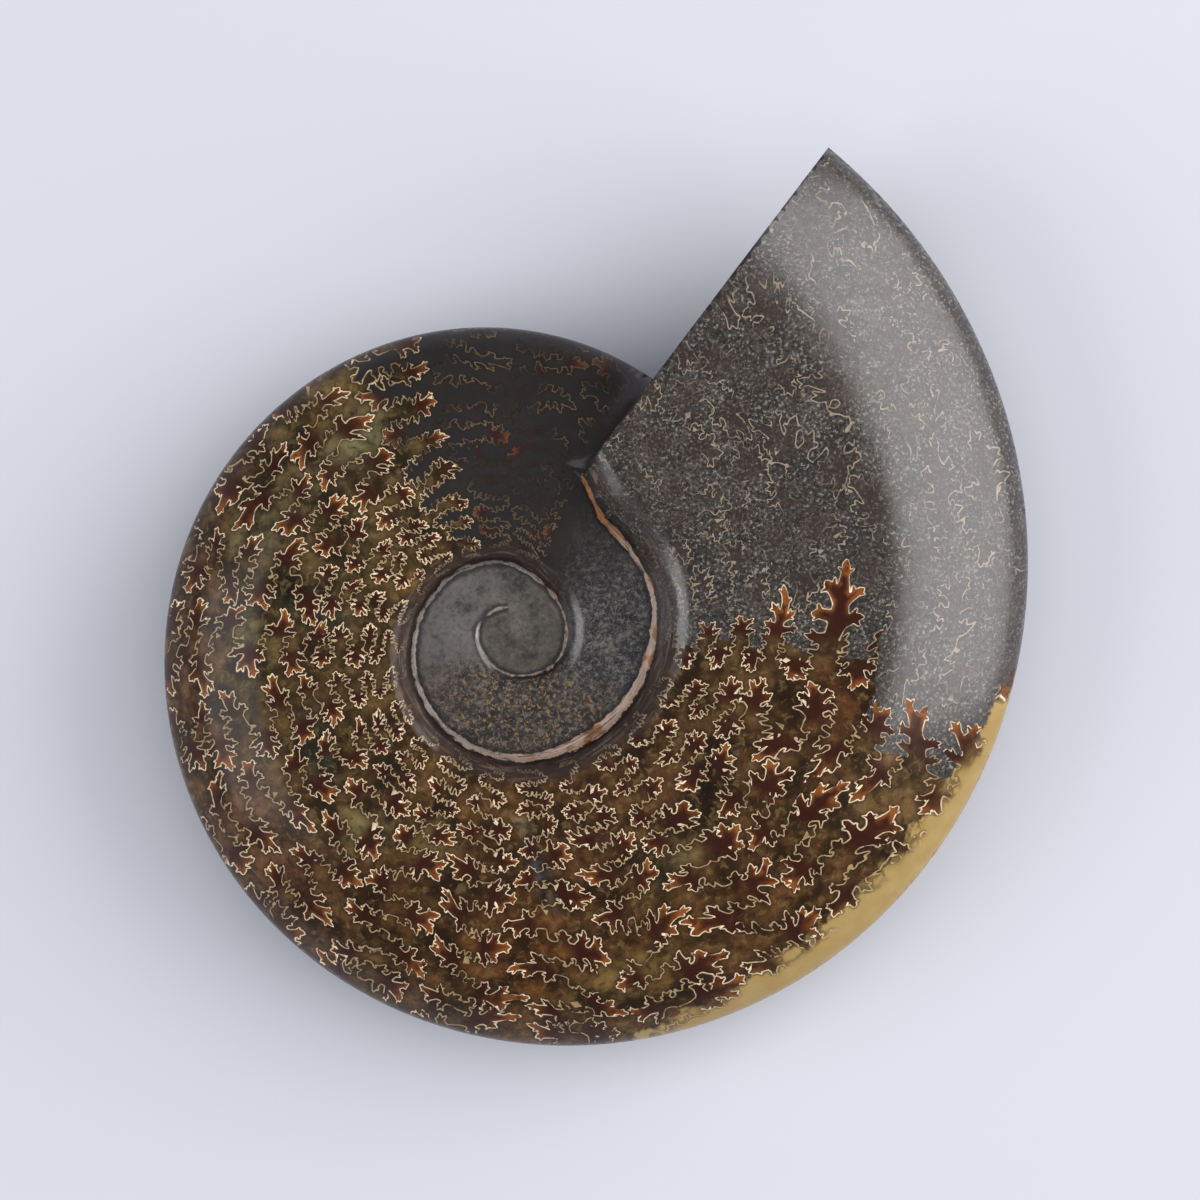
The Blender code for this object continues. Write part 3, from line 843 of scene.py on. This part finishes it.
def outer_sheet(sutures, tolerance, spacing):
    """The outer whorl, triangulated between its boundary, the suture lines and the points that fill it."""
    rim_angles, rim_shares = outer_boundary()
    line_flat, line_leafs, line_edges = line_points(sutures, tolerance)
    fill_angles, fill_shares = fill_points(spacing)
    keep = inside_cut(fill_angles, fill_shares, FILL_FROM_CUT)
    fill_angles, fill_shares = fill_angles[keep], fill_shares[keep]
    fill_flat = unrolled(fill_angles, fill_shares)
    fill_places = fill_angles, fill_flat[:, 1]
    near = sutures.sample("nearest", *fill_places) < LINE_HALF_WIDTH + CLEARANCE
    fill_flat = fill_flat[~(near & (sutures.sample("drawn", *fill_places) > 0))]
    rim_flat = unrolled(rim_angles, rim_shares)
    given = np.concatenate([rim_flat, line_flat, fill_flat])
    rim = list(range(len(rim_flat)))
    edges = [(a + len(rim), b + len(rim)) for a, b in line_edges]
    places, _, faces, originals, _, _ = delaunay_2d_cdt(
        [Vector(point) for point in given], edges, [rim], 1, CDT_PRECISION, True
    )
    flat = np.array([tuple(place) for place in places])
    source = np.array([min(found) if found else -1 for found in originals])
    flat[source >= 0] = given[source[source >= 0]]
    angles = np.degrees(flat[:, 0])
    shares = share_at(angles, np.exp(flat[:, 1]))
    on_rim = (source >= 0) & (source < len(rim))
    angles[on_rim] = rim_angles[source[on_rim]]
    shares[on_rim] = rim_shares[source[on_rim]]
    corners = np.array(faces)
    all_rim = np.flatnonzero(on_rim[corners].all(axis=1))
    outside = all_rim[~inside_loop(flat[corners[all_rim]].mean(axis=1), rim_flat)]
    corners = np.delete(corners, outside, axis=0)
    sheet = Sheet(angles, shares, corners.tolist())
    seam_end = Sheet([CUT_SEAM_ANGLE], [0.0], []).points[0]
    under_it = np.linalg.norm(sheet.points[:, :2] - seam_end[:2], axis=1) < SAME_PLACE
    sheet.points[under_it] = seam_end
    from_line = (source >= len(rim)) & (source < len(rim) + len(line_flat))
    on_line = from_line | (source < 0)
    distance = sutures.sample("nearest", angles, flat[:, 1]) - LINE_HALF_WIDTH
    for name in ("leaf", "dark", "sand"):
        sheet.paint[name] = sutures.sample(name, angles, flat[:, 1])
    sheet.paint["away"] = np.where(on_line, 0, np.clip(distance, 0, FAR))
    sheet.paint["leaf"][from_line] = line_leafs[source[from_line] - len(rim)]
    middles = flat[corners].mean(axis=1)
    middles = np.degrees(middles[:, 0]), middles[:, 1]
    in_line = sutures.sample("nearest", *middles) < LINE_HALF_WIDTH
    sheet.line_faces = (in_line & (sutures.sample("drawn", *middles) > FULLY_DRAWN)).astype(float)
    return sheet


def strip_faces(before, after, radii):
    """Triangles between two rows of points that run outwards from one point, which is the first of both."""
    faces = []
    i, j = 0, 1
    while i < len(before) - 1 or j < len(after) - 1:
        if j == len(after) - 1 or (i < len(before) - 1 and radii[before[i + 1]] < radii[after[j + 1]]):
            faces.append((before[i], before[i + 1], after[j]))
            i += 1
        else:
            faces.append((before[i], after[j + 1], after[j]))
            j += 1
    return faces


def core_parts(inner):
    """The smooth button: the first whorl's flank run on to the centre, with a low dome on it."""
    rows = len(INNER_ROWS)
    rings = np.array(CORE_RINGS)
    stride = len(rings) + 1
    dome_radius = seam_radius(CORE_ANGLE)
    seam_angles = CORE_ANGLE + SECTION_DEG * np.arange(SECTIONS_A_TURN)
    seam = Sheet(seam_angles, 0 * seam_angles, []).points
    points, angles = [], []
    for i in range(SECTIONS_A_TURN):
        rim = seam[i]
        angle = CORE_ANGLE - FULL_TURN + i * SECTION_DEG
        radii = math.hypot(rim[0], rim[1]) * rings
        dome = CORE_DOME * (1 - np.clip(radii / dome_radius, 0, 1) ** 2) ** 2
        own_share = share_at(angle, radii)
        heights = flank_height(angle, own_share) + dome
        joining = np.clip((angle - CORE_ANGLE + CORE_JOINING) / CORE_JOINING, 0, 1) * (own_share > 0)
        heights = heights + joining * (height_at(angle, np.maximum(own_share, 0)) - heights)
        points.extend(np.column_stack([in_plan(angle, radii), heights]))
        points.append(rim)
        angles += [angle] * stride
    faces = grid_faces(SECTIONS_A_TURN, stride)
    top = len(points)
    points.append(np.array([0, 0, CORE_HALF_BREADTH + CORE_DOME]))
    angles.append(CORE_ANGLE - FULL_TURN)
    last = (SECTIONS_A_TURN - 1) * stride
    faces += [(top, i, i + stride) for i in range(0, last, stride)]
    offset = len(points)
    angles += [CORE_ANGLE] * rows
    points = np.array(points + list(inner.points[:rows]))
    before = [top] + [last + j for j in range(stride)]
    after = [top] + list(range(stride - 1)) + [offset + j for j in range(rows)]
    faces += strip_faces(before, after, np.hypot(points[:, 0], points[:, 1]))
    return points, np.array(angles), faces


def cut_face_points():
    """Corners of the sawn face's upper half, along the edge to the tip and back along the foot."""
    edge, foot = [Sheet(*line, []).points for line in (cut_edge(), cut_foot())]
    return np.concatenate([edge, foot[:0:-1]])


class HalfShells:
    """Collects the parts of both halves in one bmesh, and a row of values for each vertex."""

    def __init__(self):
        self.bm = bmesh.new()
        self.row = self.bm.verts.layers.int.new("row")
        self.line = self.bm.faces.layers.float.new("line")
        self.cut = self.bm.faces.layers.float.new("cut")
        self.rows = []
        self.count = 0

    def add(self, points, faces, values, side):
        """Add a part's vertices and faces, with its values; returns the faces."""
        verts = []
        for i, (x, y, z) in enumerate(points):
            vert = self.bm.verts.new((x, y, side * z))
            vert[self.row] = self.count + i
            verts.append(vert)
        self.count += len(points)
        self.rows.append(values)
        return [self.bm.faces.new([verts[i] for i in face]) for face in faces]

    def add_sheet(self, sheet, side):
        values = surface_values(sheet.angles, sheet.shares) | sheet.paint
        for face, value in zip(self.add(sheet.points, sheet.faces, values, side), sheet.line_faces):
            face[self.line] = value

    def add_core(self, core, side):
        points, angles, faces = core
        values = surface_values(angles, 0 * angles, np.hypot(points[:, 0], points[:, 1]))
        self.add(points, faces, values, side)

    def add_cut_face(self, points, side):
        values = surface_values(np.full(len(points), CUT_SEAM_ANGLE), np.full(len(points), 0.5))
        made = self.add(points, [tuple(range(len(points)))], values, side)
        made[0][self.cut] = 1.0
        bmesh.ops.triangulate(self.bm, faces=made, ngon_method="EAR_CLIP")

    def mesh(self):
        """The closed mesh, with the values of its vertices as attributes."""
        bmesh.ops.remove_doubles(self.bm, verts=self.bm.verts, dist=SAME_PLACE)
        bmesh.ops.recalc_face_normals(self.bm, faces=self.bm.faces)
        mesh = bpy.data.meshes.new("fossil")
        self.bm.to_mesh(mesh)
        self.bm.free()
        rows = np.empty(len(mesh.vertices), int)
        mesh.attributes["row"].data.foreach_get("value", rows)
        mesh.attributes.remove(mesh.attributes["row"])
        for name in self.rows[0]:
            values = np.concatenate([part[name] for part in self.rows])[rows]
            if values.ndim == 1:
                mesh.attributes.new(name, "FLOAT", "POINT").data.foreach_set("value", values)
            else:
                mesh.attributes.new(name, "FLOAT_VECTOR", "POINT").data.foreach_set("vector", values.ravel())
        return mesh


def rest_on_flank(points):
    """Lean the shell onto its lower flank and fit it to the box of the solid that it stands for."""
    towards = math.radians(LEAN_TOWARDS_DEG)
    axis = Vector((-math.sin(towards), math.cos(towards), 0))
    lean = np.array(Matrix.Rotation(math.radians(LEAN_DEG), 3, axis))
    leaned = points @ lean.T
    low, high = leaned.min(axis=0), leaned.max(axis=0)
    box = np.array([list(corner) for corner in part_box("ammonite")])
    return box[0] + (leaned - low) / (high - low) * (box[1] - box[0])


def fossil_mesh():
    sutures = Sutures()
    inner = inner_sheet()
    core = core_parts(inner)
    halves = HalfShells()
    for side, tolerance, spacing in HALVES:
        outer = outer_sheet(sutures, tolerance, spacing)
        halves.add_sheet(inner, side)
        halves.add_sheet(outer, side)
        halves.add_core(core, side)
        halves.add_cut_face(cut_face_points(), side)
    mesh = halves.mesh()
    points = np.empty(len(mesh.vertices) * 3)
    mesh.vertices.foreach_get("co", points)
    mesh.vertices.foreach_set("co", rest_on_flank(points.reshape(-1, 3)).ravel())
    mesh.update()
    mesh.shade_smooth()
    mesh.set_sharp_from_angle(angle=math.radians(SMOOTH_BELOW_DEG))
    return mesh


def linear_colour(colour):
    """Linear light of a colour given in 0 to 255."""
    values = np.array(colour) / 255
    return np.where(values < 0.04045, values / 12.92, ((values + 0.055) / 1.055) ** 2.4)


def surface_values(angles, shares, radii=None):
    """What the paint needs at each point: distances in millimetres, masks and the ground's colour."""
    radii = radius_at(angles, shares) if radii is None else radii
    plan = in_plan(angles, radii)
    u = angles * SEPTA_A_TURN / FULL_TURN
    v = np.log(np.maximum(radii, 1.0)) * SEPTA_A_TURN / (2 * math.pi)
    wave, other = [ripple(u / 2, v / 2, seed) * ZONE_WAVES for seed in GROUND_SEEDS]
    outer = angles > START_ANGLE - SECTION_DEG / 4
    span = keel_radius(angles) - seam_radius(angles)
    place = np.clip((angles - BAND_ANGLES[0]) / (BAND_ANGLES[1] - BAND_ANGLES[0]), 0, 1)
    band = (shares - 1 + BAND_SHARE * np.sin(math.pi * place) ** BAND_POWER) * span
    ground = np.tile(linear_colour(GROUND), (len(plan), 1))
    for angle, share, reach, share_reach, colour in GROUND_ZONES:
        far = np.hypot((angles + wave - angle) / reach, (shares + other / ZONE_WAVES - share) / share_reach)
        mask = np.exp(-(far**3))[:, None]
        ground = ground * (1 - mask) + mask * linear_colour(colour)
    to_own_seam = radii - seam_radius(angles)
    to_next_seam = seam_radius(angles + FULL_TURN) - radii
    on_own = np.where(outer, LIP_OUTER_WIDTH, INNER_RIDGE_WIDTH) - np.abs(to_own_seam)
    on_own = np.where(angles < CORE_ANGLE, -FAR, on_own)
    width = np.interp(angles + FULL_TURN, LIP_ANGLES, LIP_WIDTHS)
    on_next = np.where(angles + FULL_TURN > LIP_ANGLES[0], width, INNER_RIDGE_WIDTH) - np.abs(to_next_seam)
    return {
        "dark": np.full(len(plan), FAR),
        "sand": np.full(len(plan), -FAR),
        "band": np.where(outer & (place > 0) & (place < 1), band, -FAR),
        "ground": ground,
        "lip": np.where(outer, on_own, np.maximum(on_own, on_next)),
        "lip_age": np.clip((angles + FULL_TURN * ~outer - LIP_ANGLES[0]) / FULL_TURN, -1, 1),
        "inner": np.clip((INNER_END - angles) / INNER_FADE, 0, 1),
        "share": shares,
        "turn": angles,
        "away": np.full(len(plan), FAR),
        "leaf": np.zeros(len(plan)),
    }


# The fossil's paint is built on this material's node tree
STONE = bpy.data.materials.new("fossil_stone")
STONE.use_nodes = True
TREE = STONE.node_tree
PLACE = TREE.nodes.new("ShaderNodeTexCoord").outputs["Object"]


def put(socket, value):
    if isinstance(value, bpy.types.NodeSocket):
        TREE.links.new(value, socket)
    else:
        socket.default_value = value


def attribute(name, output="Fac"):
    node = TREE.nodes.new("ShaderNodeAttribute")
    node.attribute_name = name
    return node.outputs[output]


def calculate(operation, *values):
    node = TREE.nodes.new("ShaderNodeMath")
    node.operation = operation
    for socket, value in zip(node.inputs, values):
        put(socket, value)
    return node.outputs[0]


def times(*values):
    total = values[0]
    for value in values[1:]:
        total = calculate("MULTIPLY", total, value)
    return total


def plus(a, b):
    return calculate("ADD", a, b)


def opposite(mask):
    return calculate("SUBTRACT", 1.0, mask)


def ramp(value, low, high, start=0.0, end=1.0):
    """Smooth change from one value to another as the input goes from low to high."""
    node = TREE.nodes.new("ShaderNodeMapRange")
    node.interpolation_type = "SMOOTHSTEP"
    numbers = (value, low, high, start, end) if low < high else (value, high, low, end, start)
    for socket, number in zip(node.inputs, numbers):
        put(socket, number)
    return node.outputs["Result"]


def mix(factor, a, b):
    node = TREE.nodes.new("ShaderNodeMix")
    node.data_type = "RGBA"
    put(node.inputs["Factor"], factor)
    for name, value in (("A", a), ("B", b)):
        socket = [each for each in node.inputs if each.name == name and each.type == "RGBA"][0]
        put(socket, value if isinstance(value, bpy.types.NodeSocket) else (*linear_colour(value), 1.0))
    return [each for each in node.outputs if each.type == "RGBA"][0]


def noise(size, detail=2.0, roughness=0.5, vector=None, distortion=0.0):
    """Noise whose features are about the given size, in metres or in units of the vector given."""
    node = TREE.nodes.new("ShaderNodeTexNoise")
    put(node.inputs["Vector"], vector or PLACE)
    settings = {"Scale": 1 / size, "Detail": detail, "Roughness": roughness, "Distortion": distortion}
    for name, value in settings.items():
        node.inputs[name].default_value = value
    return node.outputs["Fac"]


def combine(x, y):
    node = TREE.nodes.new("ShaderNodeCombineXYZ")
    put(node.inputs["X"], x)
    put(node.inputs["Y"], y)
    return node.outputs["Vector"]


def brighten(colour, factor):
    """The colour times a grey factor."""
    node = TREE.nodes.new("ShaderNodeVectorMath")
    node.operation = "SCALE"
    put(node.inputs[0], colour)
    put(node.inputs["Scale"], factor)
    return node.outputs[0]


def ground_paint():
    """The translucent calcite between the leaves: zones of colour with a cloudy mottling."""
    clouds = noise(0.0065, 3.0, 0.6)
    flecks = noise(0.0016, 4.0, 0.65, distortion=0.6)
    colour = brighten(attribute("ground", "Vector"), ramp(clouds, 0.34, 0.68, 0.12, 0.78))
    colour = mix(ramp(flecks, 0.52, 0.66, 0.0, 0.45), colour, FLECK_PALE)
    return mix(ramp(flecks, 0.50, 0.30, 0.0, 0.75), colour, FLECK_DARK)


def sand_paint():
    """Grey sand with pale and dark grains."""
    grains = noise(0.00055, 2.0, 0.7)
    patches = noise(0.0045, 3.0, 0.6)
    colour = mix(ramp(patches, 0.35, 0.70), SAND_STONE, SAND_LIGHT)
    colour = mix(ramp(grains, 0.55, 0.67, 0.0, 0.8), colour, SAND_PALE)
    return mix(ramp(grains, 0.48, 0.38, 0.0, 0.85), colour, SAND_DARK)


def inner_paint():
    """The whorls in the umbilicus: smooth and grey, then dark and grainy, then dark with frills."""
    turn = attribute("turn")
    grain = noise(0.0008, 4.0, 0.70)
    soft = noise(0.0045, 4.0, 0.65)
    specks = noise(0.0007, 2.0, 0.6, distortion=0.8)
    frills = calculate("ABSOLUTE", plus(noise(0.0030, 3.0, 0.75, distortion=1.5), -0.5))
    early = ramp(turn, INNER_TURNS[1], INNER_TURNS[0])
    late = ramp(turn, INNER_TURNS[2], INNER_TURNS[3])
    button = ramp(turn, BUTTON_TURNS[1], BUTTON_TURNS[0])
    middle = times(opposite(early), opposite(late))
    colour = mix(late, INNER_STONE, INNER_BLUE)
    colour = mix(early, colour, INNER_GREY)
    colour = mix(button, colour, INNER_GREEN)
    colour = mix(ramp(soft, 0.50, 0.34, 0.0, 0.65), colour, INNER_DARK)
    colour = mix(ramp(soft, 0.54, 0.70, 0.0, 0.50), colour, INNER_PALE)
    rough = ramp(early, 0.0, 1.0, 0.75, 0.30)
    colour = mix(times(ramp(grain, 0.48, 0.40), rough), colour, INNER_DARK)
    colour = mix(times(ramp(grain, 0.53, 0.62), rough, 0.8), colour, INNER_PALE)
    colour = mix(times(ramp(specks, 0.56, 0.64), middle, 0.8), colour, INNER_TAN)
    return mix(times(ramp(frills, 0.022, 0.006), late, 0.55), colour, INNER_PALE)


def paint_stone():
    """The whole fossil's paint. Masks and distances come from the mesh, and noise breaks their edges."""
    away, leaf, line = attribute("away"), attribute("leaf"), attribute("line")
    edge_noise = plus(noise(0.0022, 4.0, 0.65), -0.5)
    sand = ramp(plus(attribute("sand"), times(edge_noise, 0.8)), -0.12, 0.12)
    dark = ramp(plus(attribute("dark"), times(edge_noise, 1.2)), -0.2, 0.3)
    band = ramp(plus(attribute("band"), times(edge_noise, 6.0)), -0.6, 0.9)
    sand = times(sand, opposite(band))
    cut = attribute("cut")
    sand = calculate("MAXIMUM", sand, cut)
    inner = attribute("inner")

    colour = ground_paint()
    # painted shade: the ground darkens towards the suture lines
    colour = mix(ramp(away, 1.9, 0.2, 0.0, 0.30), colour, SHADE)
    yellow = mix(noise(0.004, 3.0), BAND_YELLOW, BAND_PALE)
    colour = mix(band, colour, yellow)
    colour = mix(times(dark, 0.94), colour, DARK_STONE)

    # leaves: dark in the body, and orange against the line at the tips
    tint = noise(0.0035, 3.0, 0.6)
    rim = times(ramp(away, 0.85, 0.0), ramp(leaf, 0.45, 1.0), ramp(tint, 0.34, 0.54))
    body = mix(rim, MAROON, ORANGE)
    fill = times(ramp(leaf, 0.02, 0.42), ramp(noise(0.007, 2.0), 0.30, 0.50, 0.75, 1.0))
    off_leaves = ramp(plus(attribute("band"), times(edge_noise, 3.0)), 3.2, 1.6)
    red_brown = ramp(noise(0.009, 1.0), 0.56, 0.62)
    fill = times(fill, off_leaves, ramp(dark, 0.0, 1.0, 1.0, times(red_brown, 0.6)))
    colour = mix(times(fill, 0.95), colour, body)
    # painted shadow: a dark rim just outside the suture lines, on the side away from the leaves
    painted_line_shadow = times(ramp(away, 0.45, 0.0), off_leaves, ramp(leaf, 0.0, 0.4, 0.62, 0.0))
    colour = mix(painted_line_shadow, colour, SHADE)
    sand_colour = sand_paint()
    colour = mix(sand, colour, sand_colour)
    # the same painted shadow along the lines, over the sand
    colour = mix(times(painted_line_shadow, sand, 0.8), colour, SAND_DARK)
    colour = mix(times(fill, sand, 0.60), colour, SAND_LEAF)

    # suture lines
    worn = noise(0.0013, 3.0, 0.6)
    line_colour = mix(ramp(leaf, 0.05, 0.60), LINE_TAN, CREAM)
    line_colour = mix(dark, line_colour, DARK_LINE)
    line_colour = mix(sand, line_colour, SAND_LINE)
    show = times(line, ramp(worn, 0.30, 0.56, 0.45, 1.0), off_leaves)
    ghosts = ramp(noise(0.007, 2.0), 0.44, 0.58, 0.15, 0.85)
    faint = ramp(noise(0.010, 2.0), 0.40, 0.60, 0.05, 0.95)
    show = times(show, ramp(sand, 0.0, 1.0, 1.0, ghosts), ramp(dark, 0.0, 1.0, 1.0, faint))
    colour = mix(show, colour, line_colour)

    # umbilicus: the steep wall, the granular inner whorls, the lip of old shell along the seams and painted
    # shade beside it
    wall = times(ramp(attribute("share"), 0.10, 0.04), opposite(inner))
    wall = times(wall, ramp(sand, 0.0, 1.0, 0.78, 0.5))
    strands = combine(times(attribute("turn"), 0.05), times(attribute("lip"), 1.6))
    layers = noise(1.0, 4.0, 0.7, strands)
    wall_colour = mix(ramp(layers, 0.50, 0.66, 0.0, 0.8), WALL_STONE, WALL_PALE)
    colour = mix(wall, colour, wall_colour)
    colour = mix(inner, colour, inner_paint())
    ragged = times(plus(noise(0.0028, 3.0, 0.6), -0.5), 1.6)
    lip = ramp(plus(attribute("lip"), ragged), -0.15, 0.12)
    # painted shade: a dark rim just outside the lip of old shell, where it meets the stone beside it
    lip_contact_shade = ramp(plus(attribute("lip"), ragged), -1.1, -0.3, 0.0, 0.75)
    colour = mix(lip_contact_shade, colour, INNER_DARK)
    age = attribute("lip_age")
    orange = calculate("MAXIMUM", ramp(age, 0.90, 0.97), ramp(noise(0.004, 2.0), 0.54, 0.62))
    lip_colour = mix(ramp(age, 0.45, 0.62), LIP_GREY, LIP_CREAM)
    lip_colour = mix(times(orange, ramp(age, 0.50, 0.66)), lip_colour, LIP_ORANGE)
    lip_colour = mix(ramp(layers, 0.52, 0.40, 0.0, 0.85), lip_colour, LIP_DARK)
    colour = mix(times(lip, 0.88), colour, lip_colour)
    colour = mix(cut, colour, sand_colour)

    roughness = ramp(plus(sand, inner), 0.0, 1.0, POLISH_ROUGHNESS, SAND_ROUGHNESS)
    roughness = plus(roughness, ramp(noise(0.0015, 3.0), 0.3, 0.7, -0.03, 0.05))
    shine = ramp(plus(sand, inner), 0.0, 1.0, STONE_SHINE, SAND_SHINE)
    for name, socket in (("Specular IOR Level", shine), ("Base Color", colour), ("Roughness", roughness)):
        put(TREE.nodes["Principled BSDF"].inputs[name], socket)


def make_fossil():
    fossil = bpy.data.objects.new("fossil", fossil_mesh())
    paint_stone()
    fossil.data.materials.append(STONE)
    bpy.context.scene.collection.objects.link(fossil)
    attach(fossil, "root")
    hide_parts("ammonite")


def make_floor():
    mesh = bpy.data.meshes.new("floor")
    half = FLOOR_SIZE / 2
    corners = [(x * half, y * half, 0) for x, y in ((-1, -1), (1, -1), (1, 1), (-1, 1))]
    mesh.from_pydata(corners, [], [(0, 1, 2, 3)])
    floor = bpy.data.objects.new("floor", mesh)
    material = bpy.data.materials.new("floor_paper")
    material.use_nodes = True
    shader = material.node_tree.nodes["Principled BSDF"]
    shader.inputs["Base Color"].default_value = FLOOR_COLOUR
    shader.inputs["Roughness"].default_value = FLOOR_ROUGHNESS
    mesh.materials.append(material)
    bpy.context.scene.collection.objects.link(floor)


def add_softbox(name, place, size, power, colour, mirrored):
    light = bpy.data.lights.new(name, "AREA")
    light.shape = "RECTANGLE"
    light.size, light.size_y = size
    light.energy = power
    light.color = colour
    lamp = bpy.data.objects.new(name, light)
    lamp.location = place
    lamp.visible_glossy = mirrored
    lamp.rotation_euler = (Vector(SOFTBOX_AIM) - Vector(place)).to_track_quat("-Z", "Y").to_euler()
    bpy.context.scene.collection.objects.link(lamp)


def make_lights():
    for softbox in SOFTBOXES:
        add_softbox(*softbox)
    world = bpy.data.worlds.new("studio")
    world.use_nodes = True
    background = world.node_tree.nodes["Background"]
    background.inputs["Color"].default_value = WORLD_COLOUR
    background.inputs["Strength"].default_value = WORLD_STRENGTH
    bpy.context.scene.world = world


def make_camera():
    data = bpy.data.cameras.new("camera")
    data.sensor_width = SENSOR_WIDTH
    data.lens = SENSOR_WIDTH * (CAMERA_HEIGHT - VIEW_PLANE) / VIEW_WIDTH
    camera = bpy.data.objects.new("camera", data)
    camera.location = (VIEW_CENTRE[0], VIEW_CENTRE[1], CAMERA_HEIGHT)
    bpy.context.scene.collection.objects.link(camera)
    bpy.context.scene.camera = camera


make_fossil()
make_floor()
make_lights()
make_camera()
bpy.context.scene.view_settings.view_transform = "Standard"
